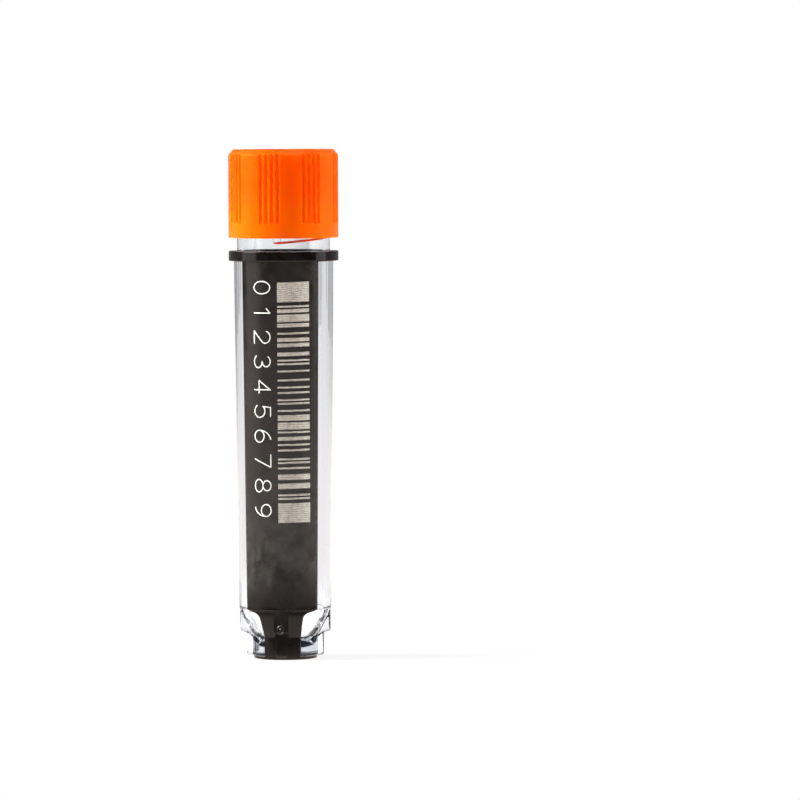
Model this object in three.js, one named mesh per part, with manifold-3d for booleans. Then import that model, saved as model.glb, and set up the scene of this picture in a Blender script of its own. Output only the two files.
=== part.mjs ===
// Cryovial: an externally threaded sample tube for a 48-position rack. Millimetres, +Z up.
//
// Four mouldings: a clear tube, a black jacket that is moulded onto it and carries the codes, a screw cap
// and the soft ring that seals it. The origin is the centre of the flat underside, and the coded side
// faces -Y. An angle "from the front" is counted from -Y towards +X.
import * as THREE from "three";
import { mergeVertices } from "three/addons/utils/BufferGeometryUtils.js";
import Module from "manifold-3d";

const wasm = await Module();
wasm.setup();

// ---------------------------------------------------------------- driving dimensions

const ROUND_SEGMENTS = 64; // flats around every turned form, so that mating faces stay parallel
const ARC_STEPS = 3; // steps in a small rounded edge
const FIT_GAP = 0.02; // between two mouldings that touch

// Clear tube, from the bore outwards
const BORE = { mouthRadius: 4.62, foot: 5.3 }; // foot is the height where the well starts
const WELL = { floor: 1.25, floorWall: 1.67, floorRound: 0.5, topRound: 0.6 };
const NECK_WALL = 0.66;
const RIM_ROUND = 0.2;
const BODY = { foot: 5.8, top: 45.3, taper: 0.43, footWall: 0.85 }; // taper is on the radius
const SHOULDER = { step: 0.08, straight: 0.55, round: 0.5 }; // step in from the body above it
const SPIGOT = { radius: 3.77, top: 2.6 }; // the narrow round foot under the shoulder

// Four ribs that stop the tube turning in its rack, each a high lug above a low rib, narrower downwards
const RIB = { count: 4, width: 1.78, footWidth: 1.3, lugFoot: 3.05, lowStandOut: 0.63, round: 0.28 };

// Black jacket
const JACKET_DEPTH = 0.36; // how deep it lies in the tube's wall
const RING = { thickness: 1.15, lip: 0.59, round: 0.18, seat: 0.2 }; // the tube's shoulder fills the seat
const CODE_DISC = { radius: 3.6, thickness: 0.3, chamfer: 0.08 };
const STRIP = { halfAngle: 48, tailHalfAngle: 32.2, shelf: 0.15, shelfIn: 1.4, shelfDrop: 0.35, round: 0.6 };
const GATE_MARK = { radius: 0.4, stretch: 1.6, aboveLug: 0.62, sink: 0.16 }; // where the black went in

// Screw thread, one start, right-handed
const THREAD = { lead: 3, height: 0.32, rootWidth: 1.1, crestWidth: 0.55, runOut: 12 };
const THREAD_BURIAL = 0.08; // how far a ridge's root reaches into the wall that carries it
const CREST_GAP = 0.08; // between a crest and the root that it faces
const FLANK_GAP = 0.06; // along the axis, between the flanks that carry the cap
const TUBE_THREAD = { turns: 1.85, startAngle: -8.5, aboveRing: 1.27 };
const CAP_THREAD = { turns: 1.3, startTurn: 0.6 }; // startTurn is counted from the tube's start

// Cap
const CAP = { wall: 0.57, height: 10.04, aboveRing: 1.5, topPlate: 0.85, mouthChamfer: 0.15 };
const CAP_EDGE = { across: 0.54, down: 0.62 }; // the bevel round the top
const GRIP = { groups: 8, grooves: 4, pitch: 6, radius: 0.25, depth: 0.17, foot: 1.6, angle: -8.6 };
const PLUG = { gap: 0.37, wall: 0.85, floor: 0.9, round: 0.4 }; // the hollow boss inside the mouth
const SOCKET = { depth: 4.3, round: 0.15 }; // for the driver of a capping tool
const SPLINE = { count: 6, radius: 0.5, height: 0.38, belowTop: 0.7 };

// Seal
const SEAL = { height: 0.43, beyondRim: 0.15, round: 0.1 };

// ---------------------------------------------------------------- sizes that follow

const NECK_RADIUS = BORE.mouthRadius + NECK_WALL;
const BODY_TOP_RADIUS = NECK_RADIUS + FIT_GAP + JACKET_DEPTH;
const BODY_FOOT_RADIUS = BODY_TOP_RADIUS - BODY.taper;
const SHOULDER_RADIUS = BODY_FOOT_RADIUS - SHOULDER.step;
const TUBE_BASE = CODE_DISC.thickness + FIT_GAP;
const SHOULDER_TOP = BODY.top + RING.seat;

const RING_TOP = BODY.top + RING.thickness;
const RING_RADIUS = BODY_TOP_RADIUS + RING.lip;
const RING_BORE = NECK_RADIUS + FIT_GAP;

const TUBE_CREST = NECK_RADIUS + THREAD.height;
const CAP_ROOT = TUBE_CREST + CREST_GAP;
const CAP_CREST = CAP_ROOT - THREAD.height;
const TUBE_THREAD_START = RING_TOP + TUBE_THREAD.aboveRing;

const CAP_RADIUS = CAP_ROOT + CAP.wall;
const CAP_FOOT = RING_TOP + CAP.aboveRing;
const CAP_TOP = CAP_FOOT + CAP.height;
const CAP_CEILING = CAP_TOP - CAP.topPlate;
const SOCKET_FLOOR = CAP_TOP - SOCKET.depth;
const PLUG_RADIUS = BORE.mouthRadius - PLUG.gap;
const SOCKET_RADIUS = PLUG_RADIUS - PLUG.wall;

const SEAL_TOP = CAP_CEILING - FIT_GAP;
const SEAL_FOOT = SEAL_TOP - SEAL.height;
const RIM_TOP = SEAL_FOOT - FIT_GAP;

const FAR = 2 * RING_RADIUS; // safely outside everything

// ---------------------------------------------------------------- helpers

const radians = THREE.MathUtils.degToRad;

/** A closed geometry as a solid that can be joined and cut. */
function solid(geometry) {
  const bare = geometry.index ? geometry.toNonIndexed() : geometry.clone();
  for (const name of Object.keys(bare.attributes)) {
    if (name !== "position") bare.deleteAttribute(name);
  }
  const merged = mergeVertices(bare, 1e-4);
  const corners = merged.index.array;
  const triangles = [];
  for (let i = 0; i < corners.length; i += 3) {
    const [a, b, c] = corners.subarray(i, i + 3);
    if (a !== b && b !== c && c !== a) triangles.push(a, b, c);
  }
  const vertProperties = merged.attributes.position.array;
  const triVerts = new Uint32Array(triangles);
  return new wasm.Manifold(new wasm.Mesh({ numProp: 3, vertProperties, triVerts }));
}

/** A solid as a geometry for a flat-shaded mesh. */
function geometryOf(shape) {
  const { vertProperties, triVerts } = shape.getMesh();
  const shared = new THREE.BufferGeometry();
  shared.setAttribute("position", new THREE.BufferAttribute(vertProperties, 3));
  shared.setIndex(new THREE.BufferAttribute(triVerts, 1));
  const faceted = shared.toNonIndexed();
  faceted.computeVertexNormals();
  return faceted;
}

/**
 * Draws corners as straight runs on a path. A corner is (x, y), or (x, y, round) to round it by that
 * distance, but by no more than half of a run next to it.
 */
function trace(path, corners) {
  const points = corners.map(([x, y]) => new THREE.Vector2(x, y));
  corners.forEach(([x, y, round = 0], i) => {
    if (i === 0) {
      path.moveTo(x, y);
      return;
    }
    if (round === 0) {
      path.lineTo(x, y);
      return;
    }
    const [back, on] = [points[i - 1], points[i + 1]].map((other) => {
      const run = other.clone().sub(points[i]);
      return run.setLength(Math.min(round, run.length() / 2)).add(points[i]);
    });
    path.lineTo(back.x, back.y);
    path.quadraticCurveTo(x, y, on.x, on.y);
  });
  return path;
}

/** A form turned about Z. Its corners are (radius, height) and run up the outside, then down the inside. */
function turned(corners) {
  const profile = trace(new THREE.Path(), corners).getPoints(ARC_STEPS);
  return solid(new THREE.LatheGeometry(profile, ROUND_SEGMENTS).rotateX(Math.PI / 2));
}

/** A round bar along Z with its axis at a radius and an angle from the front. */
function bar({ radius, sides, foot, top, atRadius, atAngle }) {
  const cylinder = new THREE.CylinderGeometry(radius, radius, top - foot, sides);
  const centre = fromFront(atRadius, atAngle, (foot + top) / 2);
  return solid(cylinder.rotateX(Math.PI / 2).translate(...centre));
}

/** The point at a radius, an angle from the front and a height, as [x, y, z]. */
function fromFront(radius, degrees, height) {
  const a = radians(degrees);
  return [radius * Math.sin(a), -radius * Math.cos(a), height];
}

/**
 * One helical ridge of trapezoidal section, closed at both ends. Its crest lies outside the root on a screw
 * and inside it on a nut, and it sinks into the wall at both ends over THREAD.runOut degrees.
 */
function helicalRidge({ root, crest, startAngle, startHeight, turns }) {
  const outwards = Math.sign(crest - root);
  const buried = root - outwards * THREAD_BURIAL;
  const hidden = root - (outwards * THREAD_BURIAL) / 2;
  const steps = Math.round(turns * ROUND_SEGMENTS);
  const wide = THREAD.rootWidth / 2;
  const narrow = THREAD.crestWidth / 2;
  const positions = [];
  const indices = [];
  for (let i = 0; i <= steps; i++) {
    const angle = (360 * turns * i) / steps;
    const toEnd = Math.min(angle, 360 * turns - angle);
    const top = THREE.MathUtils.lerp(hidden, crest, THREE.MathUtils.smoothstep(toEnd, 0, THREAD.runOut));
    const middle = startHeight + (THREAD.lead * angle) / 360;
    const section = [
      [buried, middle - wide],
      [top, middle - narrow],
      [top, middle + narrow],
      [buried, middle + wide],
    ];
    if (outwards < 0) section.reverse();
    for (const [radius, height] of section) {
      positions.push(...fromFront(radius, startAngle + angle, height));
    }
  }
  const at = (i, j) => 4 * i + (j % 4);
  for (let i = 0; i < steps; i++) {
    for (let j = 0; j < 4; j++) {
      indices.push(at(i, j), at(i + 1, j), at(i, j + 1));
      indices.push(at(i, j + 1), at(i + 1, j), at(i + 1, j + 1));
    }
  }
  indices.push(at(0, 0), at(0, 1), at(0, 2), at(0, 0), at(0, 2), at(0, 3));
  indices.push(at(steps, 0), at(steps, 2), at(steps, 1), at(steps, 0), at(steps, 3), at(steps, 2));
  const ridge = new THREE.BufferGeometry();
  ridge.setAttribute("position", new THREE.Float32BufferAttribute(positions, 3));
  ridge.setIndex(indices);
  return solid(ridge);
}

/** A prism from the axis to the front, with this outline in a view from the front. */
function frontPrism(outline) {
  const options = { depth: FAR, bevelEnabled: false, curveSegments: 2 * ARC_STEPS };
  return solid(new THREE.ExtrudeGeometry(outline, options).rotateX(Math.PI / 2));
}

// ---------------------------------------------------------------- forms that tube and jacket share

/** The radius of the tapered body at a height. */
function bodyRadius(height) {
  return BODY_FOOT_RADIUS + (BODY.taper * (height - BODY.foot)) / (BODY.top - BODY.foot);
}

/**
 * The outside of spigot, shoulder and body, drawn in by inset all round. With no inset it is the outside of
 * the finished vial. Drawn in by the jacket's depth it is the face on which jacket and tube meet.
 */
function stem(inset, foot, top) {
  return turned([
    [0, foot],
    [SPIGOT.radius - inset, foot],
    [SPIGOT.radius - inset, SPIGOT.top],
    [SHOULDER_RADIUS - inset, BODY.foot - SHOULDER.straight, SHOULDER.round],
    [SHOULDER_RADIUS - inset, BODY.foot - SHOULDER.step],
    [BODY_FOOT_RADIUS - inset, BODY.foot],
    [bodyRadius(top) - inset, top],
    [0, top],
  ]);
}

/**
 * The strip's front outline, pushed back to the axis: a wide head up the body, a shelf that drops inwards
 * just under the body's edge, and a narrow tail down the spigot. It is grown by grow on both sides and
 * below the shelf.
 */
function stripPrism(grow, foot, top) {
  const tail = SPIGOT.radius * Math.sin(radians(STRIP.tailHalfAngle)) + grow;
  const waist = BODY_FOOT_RADIUS * Math.sin(radians(STRIP.halfAngle)) + grow;
  const head = bodyRadius(top) * Math.sin(radians(STRIP.halfAngle)) + grow;
  const shelf = BODY.foot - STRIP.shelf - grow;
  const rightSide = [
    [tail, foot],
    [tail, SPIGOT.top - grow],
    [waist - STRIP.shelfIn, shelf - STRIP.shelfDrop, STRIP.round],
    [waist - 0.08, shelf, STRIP.round],
    [waist, BODY.foot],
    [head, top],
  ];
  const leftSide = rightSide.map(([x, ...rest]) => [-x, ...rest]).reverse();
  return frontPrism(trace(new THREE.Shape(), [...rightSide, ...leftSide]));
}

/** The ribs with these numbers, counted round from the front, still solid to the axis. */
function ribs(numbers, foot) {
  const low = SPIGOT.radius + RIB.lowStandOut;
  const top = BODY.foot - SHOULDER.step / 2;
  const round = turned([
    [0, foot],
    [low, foot, RIB.round],
    [low, RIB.lugFoot],
    [SHOULDER_RADIUS, RIB.lugFoot, RIB.round],
    [SHOULDER_RADIUS, top],
    [0, top],
  ]);
  const front = trace(new THREE.Shape(), [
    [0, foot],
    [RIB.footWidth / 2, foot, RIB.round],
    [RIB.width / 2, BODY.foot],
    [-RIB.width / 2, BODY.foot],
    [-RIB.footWidth / 2, foot, RIB.round],
    [0, foot],
  ]);
  const arms = numbers.map((number) => frontPrism(front).rotate([0, 0, (360 / RIB.count) * number]));
  return round.intersect(wasm.Manifold.union(arms));
}

// ---------------------------------------------------------------- clear tube

function tube() {
  const outside = stem(0, TUBE_BASE, SHOULDER_TOP - FIT_GAP);
  const strip = stripPrism(FIT_GAP, 0, SHOULDER_TOP);
  const recess = strip.subtract(stem(JACKET_DEPTH + FIT_GAP, 0, SHOULDER_TOP));
  const rootOfNeck = BODY.top - RING.thickness;
  const neck = turned([
    [0, rootOfNeck],
    [NECK_RADIUS - THREAD_BURIAL, rootOfNeck],
    [NECK_RADIUS, BODY.top - FIT_GAP],
    [NECK_RADIUS, RIM_TOP, RIM_ROUND],
    [BORE.mouthRadius - RIM_ROUND, RIM_TOP],
    [0, RIM_TOP],
  ]);
  const thread = helicalRidge({
    root: NECK_RADIUS,
    crest: TUBE_CREST,
    startAngle: TUBE_THREAD.startAngle,
    startHeight: TUBE_THREAD_START,
    turns: TUBE_THREAD.turns,
  });
  const well = turned([
    [0, WELL.floor],
    [SPIGOT.radius - WELL.floorWall, WELL.floor, WELL.floorRound],
    [BODY_FOOT_RADIUS - BODY.footWall, BORE.foot, WELL.topRound],
    [BORE.mouthRadius, RIM_TOP - RIM_ROUND],
    [BORE.mouthRadius + RIM_ROUND, RIM_TOP + FIT_GAP],
    [0, RIM_TOP + FIT_GAP],
  ]);
  const behind = Array.from({ length: RIB.count - 1 }, (_, i) => i + 1);
  return outside.add(ribs(behind, TUBE_BASE)).subtract(recess).add(neck).add(thread).subtract(well);
}

// ---------------------------------------------------------------- black jacket

function codeJacket() {
  const insideDisc = CODE_DISC.thickness / 2;
  const insideRing = BODY.top + RING.thickness / 2;
  const strip = stripPrism(0, insideDisc, insideRing);
  const outside = stem(0, insideDisc, insideRing).intersect(strip);
  const lug = ribs([0], CODE_DISC.thickness);
  const ring = turned([
    [0, BODY.top],
    [RING_RADIUS, BODY.top, RING.round],
    [RING_RADIUS, RING_TOP, RING.round],
    [0, RING_TOP],
  ]);
  const seat = stem(-FIT_GAP, BODY.top - RING.thickness, SHOULDER_TOP).subtract(strip);
  const core = turned([
    [0, BODY.top - RING.thickness],
    [RING_BORE - FIT_GAP, BODY.top - RING.thickness],
    [RING_BORE, BODY.top],
    [RING_BORE, RING_TOP + FAR],
    [0, RING_TOP + FAR],
  ]);
  const { radius, thickness, chamfer } = CODE_DISC;
  const disc = turned([
    [0, 0],
    [radius - chamfer, 0],
    [radius, chamfer],
    [radius, thickness],
    [0, thickness],
  ]);
  const mark = new THREE.SphereGeometry(GATE_MARK.radius, 16, 10).rotateX(Math.PI / 2);
  const markDepth = GATE_MARK.sink - GATE_MARK.radius - SHOULDER_RADIUS;
  const markHeight = RIB.lugFoot + GATE_MARK.aboveLug;
  const dimple = solid(mark.scale(1, 1, GATE_MARK.stretch).translate(0, markDepth, markHeight));
  const meeting = stem(JACKET_DEPTH, CODE_DISC.thickness, BODY.top).add(core);
  return outside.add(lug).add(ring.subtract(seat)).subtract(meeting).add(disc).subtract(dimple);
}

// ---------------------------------------------------------------- screw cap

/** The round grooves of the grip, in groups with plain panels between them. */
function gripGrooves() {
  const grooves = [];
  for (let group = 0; group < GRIP.groups; group++) {
    for (let i = 0; i < GRIP.grooves; i++) {
      const fromMiddle = GRIP.pitch * (i - (GRIP.grooves - 1) / 2);
      grooves.push(
        bar({
          radius: GRIP.radius,
          sides: 10,
          foot: CAP_FOOT + GRIP.foot,
          top: CAP_TOP + GRIP.radius,
          atRadius: CAP_RADIUS - GRIP.depth + GRIP.radius,
          atAngle: GRIP.angle + (360 / GRIP.groups) * group + fromMiddle,
        }),
      );
    }
  }
  return wasm.Manifold.union(grooves);
}

/** The splines in the socket's wall that a driver turns. */
function socketSplines() {
  const splines = Array.from({ length: SPLINE.count }, (_, i) =>
    bar({
      radius: SPLINE.radius,
      sides: 16,
      foot: SOCKET_FLOOR - PLUG.floor / 2,
      top: CAP_TOP - SPLINE.belowTop,
      atRadius: SOCKET_RADIUS - SPLINE.height + SPLINE.radius,
      atAngle: (360 / SPLINE.count) * i,
    }),
  );
  return wasm.Manifold.union(splines);
}

/** How far below the tube's ridge the cap's ridge runs, middle to middle, so that the cap hangs on it. */
function ridgeDrop() {
  const flankSlope = (THREAD.rootWidth - THREAD.crestWidth) / 2 / (THREAD.height + THREAD_BURIAL);
  const betweenRoots = CAP_ROOT - NECK_RADIUS + 2 * THREAD_BURIAL;
  return THREAD.rootWidth - flankSlope * betweenRoots + FLANK_GAP;
}

function screwCap() {
  const shell = turned([
    [0, SOCKET_FLOOR - PLUG.floor],
    [PLUG_RADIUS, SOCKET_FLOOR - PLUG.floor, PLUG.round],
    [PLUG_RADIUS, CAP_CEILING],
    [CAP_ROOT, CAP_CEILING],
    [CAP_ROOT, CAP_FOOT + CAP.mouthChamfer],
    [CAP_ROOT + CAP.mouthChamfer, CAP_FOOT],
    [CAP_RADIUS, CAP_FOOT],
    [CAP_RADIUS, CAP_TOP - CAP_EDGE.down],
    [CAP_RADIUS - CAP_EDGE.across, CAP_TOP],
    [SOCKET_RADIUS, CAP_TOP, SOCKET.round],
    [SOCKET_RADIUS, SOCKET_FLOOR],
    [0, SOCKET_FLOOR],
  ]);
  const thread = helicalRidge({
    root: CAP_ROOT,
    crest: CAP_CREST,
    startAngle: TUBE_THREAD.startAngle + 360 * CAP_THREAD.startTurn,
    startHeight: TUBE_THREAD_START + THREAD.lead * CAP_THREAD.startTurn - ridgeDrop(),
    turns: CAP_THREAD.turns,
  });
  return shell.add(thread).add(socketSplines()).subtract(gripGrooves());
}

// ---------------------------------------------------------------- seal

function sealRing() {
  const inner = PLUG_RADIUS + FIT_GAP;
  const outer = NECK_RADIUS + SEAL.beyondRim;
  return turned([
    [inner, SEAL_TOP],
    [inner, SEAL_FOOT],
    [outer, SEAL_FOOT, SEAL.round],
    [outer, SEAL_TOP],
    [inner, SEAL_TOP],
  ]);
}

// ---------------------------------------------------------------- the object

/** One moulding as a named mesh in its own plastic. */
function moulding(name, shape, plastic) {
  const mesh = new THREE.Mesh(geometryOf(shape), new THREE.MeshStandardMaterial(plastic));
  mesh.name = name;
  return mesh;
}

const clearPlastic = { color: "#e9ecee", roughness: 0.06, metalness: 0, transparent: true, opacity: 0.35 };
const blackPlastic = { color: "#26221f", roughness: 0.3, metalness: 0 };
const orangePlastic = { color: "#fb7d14", roughness: 0.35, metalness: 0 };
const softPlastic = { color: "#e9e4da", roughness: 0.6, metalness: 0 };

const vial = new THREE.Group();
vial.add(moulding("tube", tube(), clearPlastic));
vial.add(moulding("code_jacket", codeJacket(), blackPlastic));
vial.add(moulding("screw_cap", screwCap(), orangePlastic));
vial.add(moulding("seal_ring", sealRing(), softPlastic));
export default vial;
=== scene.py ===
"""The looks of a cryovial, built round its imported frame: fine skins, plastics, laser print, light, camera.

Shapes are worked out in millimetres and turned to metres as each mesh is made. +Z is up and the coded strip
faces -Y. An angle "from the front" is counted from -Y towards +X, in degrees.
"""

import math

import bmesh
import bpy
import numpy as np
from mathutils import Euler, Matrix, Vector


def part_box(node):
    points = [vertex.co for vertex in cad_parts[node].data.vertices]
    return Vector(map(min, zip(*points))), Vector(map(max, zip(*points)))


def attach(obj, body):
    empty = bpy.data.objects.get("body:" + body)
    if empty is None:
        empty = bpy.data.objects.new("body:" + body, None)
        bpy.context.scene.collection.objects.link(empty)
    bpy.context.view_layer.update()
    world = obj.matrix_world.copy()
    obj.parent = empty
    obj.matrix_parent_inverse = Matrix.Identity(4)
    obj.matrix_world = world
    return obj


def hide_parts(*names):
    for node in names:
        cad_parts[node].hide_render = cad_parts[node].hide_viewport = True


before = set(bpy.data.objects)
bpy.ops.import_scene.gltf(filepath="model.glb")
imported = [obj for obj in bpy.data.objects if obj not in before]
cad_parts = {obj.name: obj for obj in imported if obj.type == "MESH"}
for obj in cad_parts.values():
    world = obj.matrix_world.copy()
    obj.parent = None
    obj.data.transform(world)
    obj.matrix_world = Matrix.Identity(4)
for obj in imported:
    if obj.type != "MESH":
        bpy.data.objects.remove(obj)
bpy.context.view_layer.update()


# ---------------------------------------------------------------- sizes, in millimetres

MM_PER_M = 1000.0


def corner_mm(node, which):
    """The lowest (0) or highest (1) corner of a node of the frame, in millimetres."""
    return np.array(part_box(node)[which]) * MM_PER_M


RIM_TOP = corner_mm("tube", 1)[2]
RING_TOP = corner_mm("code_jacket", 1)[2]
RING_RADIUS = corner_mm("code_jacket", 1)[0]
CAP_FOOT = corner_mm("screw_cap", 0)[2]
CAP_TOP = corner_mm("screw_cap", 1)[2]
CAP_RADIUS = corner_mm("screw_cap", 1)[0]

BORE_MOUTH = 4.62
BORE_FOOT = 4.38
BORE_FOOT_HEIGHT = 5.3
WELL_RADIUS = 2.1
WELL_FLOOR = 1.25
NECK = 5.28
BODY_TOP = 5.66
BODY_FOOT = 5.23
BODY_FOOT_HEIGHT = 5.8
BODY_TOP_HEIGHT = 45.3
SEAT = 0.18
SHOULDER = 5.15
SPIGOT = 3.77
SPIGOT_TOP = 2.6
DISC = 3.6
DISC_TOP = 0.3
LOW_RIB = 4.4
LUG_FOOT = 3.05
RIB_TOP_HALF, RIB_FOOT_HALF = 0.89, 0.65  # half widths of a rib
RIB_ROUND = 0.28
LUG_MIDDLE = 4.2
SHOULDER_HEIGHT = 5.25
JACKET_DEPTH = 0.36
RING_EDGE = 0.16
RING_FLAT = 0.03  # past the rounded edge, where the ring's faces turn flat and mirror as flat ones
BOND = 0.02  # how far black and clear plastic reach into each other, so that no air shows between them
NECK_TOP = 55.5
THREAD_ZONE_TOP = 54.4

THREAD_LEAD = 3.0
THREAD_HEIGHT = 0.32
THREAD_ROOT = 0.55  # half widths of a ridge
THREAD_CREST = 0.275
THREAD_BURIAL = 0.08
THREAD_RUN_OUT = 12.0
TUBE_THREAD = {"start": -8.5, "height": 47.72, "turns": 1.85}
CAP_THREAD = {"start": 207.5, "height": 48.745, "turns": 1.3}
GRIP_TURN = -8.6


# ---------------------------------------------------------------- shape helpers


def turned_point(radius, degrees, height):
    """Points at a radius, an angle from the front and a height, as an array with x, y, z last."""
    angle = np.radians(degrees)
    parts = np.broadcast_arrays(radius * np.sin(angle), -radius * np.cos(angle), height)
    return np.stack(parts, axis=-1).astype(float)


def rounded(corners, steps=4):
    """
    A profile through corners (radius, height) or (radius, height, round). A rounded corner is a parabola
    that leaves the two runs at the round's distance from the corner, or halfway along a shorter run.
    """
    flat = [np.array(c[:2], float) for c in corners]
    points = []
    for i, corner in enumerate(corners):
        if len(corner) == 2 or i in (0, len(corners) - 1):
            points.append(flat[i])
            continue
        ends = []
        for other in (flat[i - 1], flat[i + 1]):
            run = np.linalg.norm(other - flat[i])
            ends.append(flat[i] + (other - flat[i]) * min(corner[2], run / 2) / run)
        t = np.linspace(0, 1, steps + 1)[:, None]
        points.extend((1 - t) ** 2 * ends[0] + 2 * t * (1 - t) * flat[i] + t**2 * ends[1])
    return np.array(points)


def along(points, count):
    """The same line with count points, evenly spaced by length."""
    points = np.asarray(points, float)
    travel = np.concatenate([[0], np.cumsum(np.linalg.norm(np.diff(points, axis=0), axis=1))])
    wanted = np.linspace(0, travel[-1], count)
    return np.stack([np.interp(wanted, travel, points[:, i]) for i in range(points.shape[1])], axis=1)


def grid_faces(rows, columns, closed):
    """Quads between neighbours of a grid of points. A closed grid joins its last column to its first."""
    i = np.arange(rows - 1)[:, None]
    j = np.arange(columns if closed else columns - 1)[None, :]
    k = (j + 1) % columns
    quads = [i * columns + j, i * columns + k, (i + 1) * columns + k, (i + 1) * columns + j]
    return np.stack(quads, axis=-1).reshape(-1, 4)


def wrapped(points):
    """A closed shell from a grid whose columns go round. Its first and last rows each lie in one point."""
    rows, columns, _ = points.shape
    return points.reshape(-1, 3), grid_faces(rows, columns, True), None


def slab(front, back):
    """A closed shell between two grids of points of the same size. Faces off the front are marked 1."""
    rows, columns, _ = front.shape
    step = rows * columns
    face = grid_faces(rows, columns, False)
    edge = np.concatenate(
        [
            np.arange(columns),
            np.arange(1, rows) * columns + columns - 1,
            (rows - 1) * columns + np.arange(columns - 2, -1, -1),
            np.arange(rows - 2, 0, -1) * columns,
        ]
    )
    after = np.roll(edge, -1)
    sides = np.stack([edge, edge + step, after + step, after], axis=1)
    faces = np.concatenate([face, face[:, ::-1] + step, sides])
    marks = np.concatenate([np.zeros(len(face), int), np.ones(len(face) + len(sides), int)])
    return np.concatenate([front.reshape(-1, 3), back.reshape(-1, 3)]), faces, marks


def turned(profile, columns):
    """A closed shell turned about Z from a profile of (radius, height) that starts and ends on the axis."""
    angle = np.arange(columns) * 360.0 / columns
    return wrapped(turned_point(profile[:, 0:1], angle[None, :], profile[:, 1:2]))


def hoop(profile, columns):
    """A closed ring turned about Z from a closed profile of (radius, height) that stays off the axis."""
    angle = np.arange(columns) * 360.0 / columns
    points = turned_point(profile[:, 0:1], angle[None, :], profile[:, 1:2])
    loop = np.concatenate([points, points[:1]])
    return loop.reshape(-1, 3), grid_faces(len(loop), columns, True), None


def piece(name, shells, materials, sharp_degrees=32.0):
    """
    One mesh object from closed shells, each (points in mm, quads, marks). Points that coincide are welded,
    faces point outwards, and edges sharper than sharp_degrees stay sharp under smooth shading. A face's
    mark picks its material.
    """
    points, faces, marks, start = [], [], [], 0
    for shell_points, shell_faces, shell_marks in shells:
        points.append(shell_points)
        faces.append(shell_faces + start)
        marks.append(np.zeros(len(shell_faces), int) if shell_marks is None else shell_marks)
        start += len(shell_points)
    points = np.concatenate(points) / MM_PER_M
    faces = np.concatenate(faces)
    marks = np.concatenate(marks)

    mesh = bpy.data.meshes.new(name)
    mesh.vertices.add(len(points))
    mesh.vertices.foreach_set("co", points.astype(np.float32).ravel())
    mesh.loops.add(faces.size)
    mesh.loops.foreach_set("vertex_index", faces.astype(np.int32).ravel())
    mesh.polygons.add(len(faces))
    mesh.polygons.foreach_set("loop_start", np.arange(0, faces.size, 4, dtype=np.int32))
    for material in materials:
        mesh.materials.append(material)
    mesh.polygons.foreach_set("material_index", np.minimum(marks, len(materials) - 1).astype(np.int32))
    mesh.update(calc_edges=True)

    welded = bmesh.new()
    welded.from_mesh(mesh)
    bmesh.ops.remove_doubles(welded, verts=welded.verts, dist=2e-7)
    bmesh.ops.dissolve_degenerate(welded, edges=welded.edges, dist=1e-8)
    bmesh.ops.recalc_face_normals(welded, faces=welded.faces)
    welded.to_mesh(mesh)
    welded.free()
    mesh.shade_smooth()
    mesh.set_sharp_from_angle(angle=math.radians(sharp_degrees))

    thing = bpy.data.objects.new(name, mesh)
    bpy.context.scene.collection.objects.link(thing)
    return thing


# ---------------------------------------------------------------- material helpers


def srgb(hex_colour, alpha=1.0):
    """A colour written as sRGB hex, such as "#e8e6e2", as linear red, green, blue and alpha."""
    values = [int(hex_colour[i : i + 2], 16) / 255 for i in (1, 3, 5)]
    return (*(v / 12.92 if v <= 0.04045 else ((v + 0.055) / 1.055) ** 2.4 for v in values), alpha)


def add(tree, kind, settings=None, links=None, stops=()):
    """
    One shader node with its settings and links. settings sets an input by its name or number, or else a
    property. links joins an input to another node's output, given as (node, output). stops are a colour
    ramp's, each a position and an sRGB hex colour or a level of grey.
    """
    node = tree.nodes.new("ShaderNode" + kind)
    for key, value in (settings or {}).items():
        if isinstance(key, int) or key in node.inputs:
            node.inputs[key].default_value = value
        else:
            setattr(node, key, value)
    for key, (source, output) in (links or {}).items():
        tree.links.new(source.outputs[output], node.inputs[key])
    while stops and len(node.color_ramp.elements) < len(stops):
        node.color_ramp.elements.new(0.5)
    for i, (position, shade) in enumerate(stops):
        element = node.color_ramp.elements[i]
        element.position = position
        element.color = srgb(shade) if isinstance(shade, str) else (shade, shade, shade, 1)
    return node


SMOOTH = {"interpolation_type": "SMOOTHSTEP"}


def begun(name):
    """A new material without nodes, its tree, and a node that gives the place on the piece."""
    material = bpy.data.materials.new(name)
    material.use_nodes = True
    material.node_tree.nodes.clear()
    return material, material.node_tree, add(material.node_tree, "TexCoord")


def finished(material, surface, volume=None):
    """The material, with its surface shader and any volume shader joined to an output."""
    links = {"Surface": (surface, 0)}
    if volume:
        links["Volume"] = (volume, 0)
    add(material.node_tree, "OutputMaterial", {}, links)
    return material


# ---------------------------------------------------------------- plastics


def clarified_polypropylene():
    """Clear injection-moulded polypropylene: water-clear in a thin wall, grey where light runs along it."""
    material, tree, place = begun("clarified_polypropylene")
    flow = add(tree, "Mapping", {"Scale": (150.0, 150.0, 20.0)}, {"Vector": (place, "Object")})
    waves = add(tree, "TexNoise", {"Scale": 1.0, "Detail": 1.0}, {"Vector": (flow, 0)})
    bump = add(tree, "Bump", {"Strength": 0.09, "Distance": 0.0001}, {"Height": (waves, "Fac")})
    shader = add(
        tree,
        "BsdfPrincipled",
        {"Base Color": srgb("#ffffff"), "Roughness": 0.0, "IOR": 1.49, "Transmission Weight": 1.0},
        {"Normal": (bump, 0)},
    )
    haze = add(tree, "VolumeAbsorption", {"Color": srgb("#dedfe3"), "Density": 360.0})
    return finished(material, shader, haze)


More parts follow.
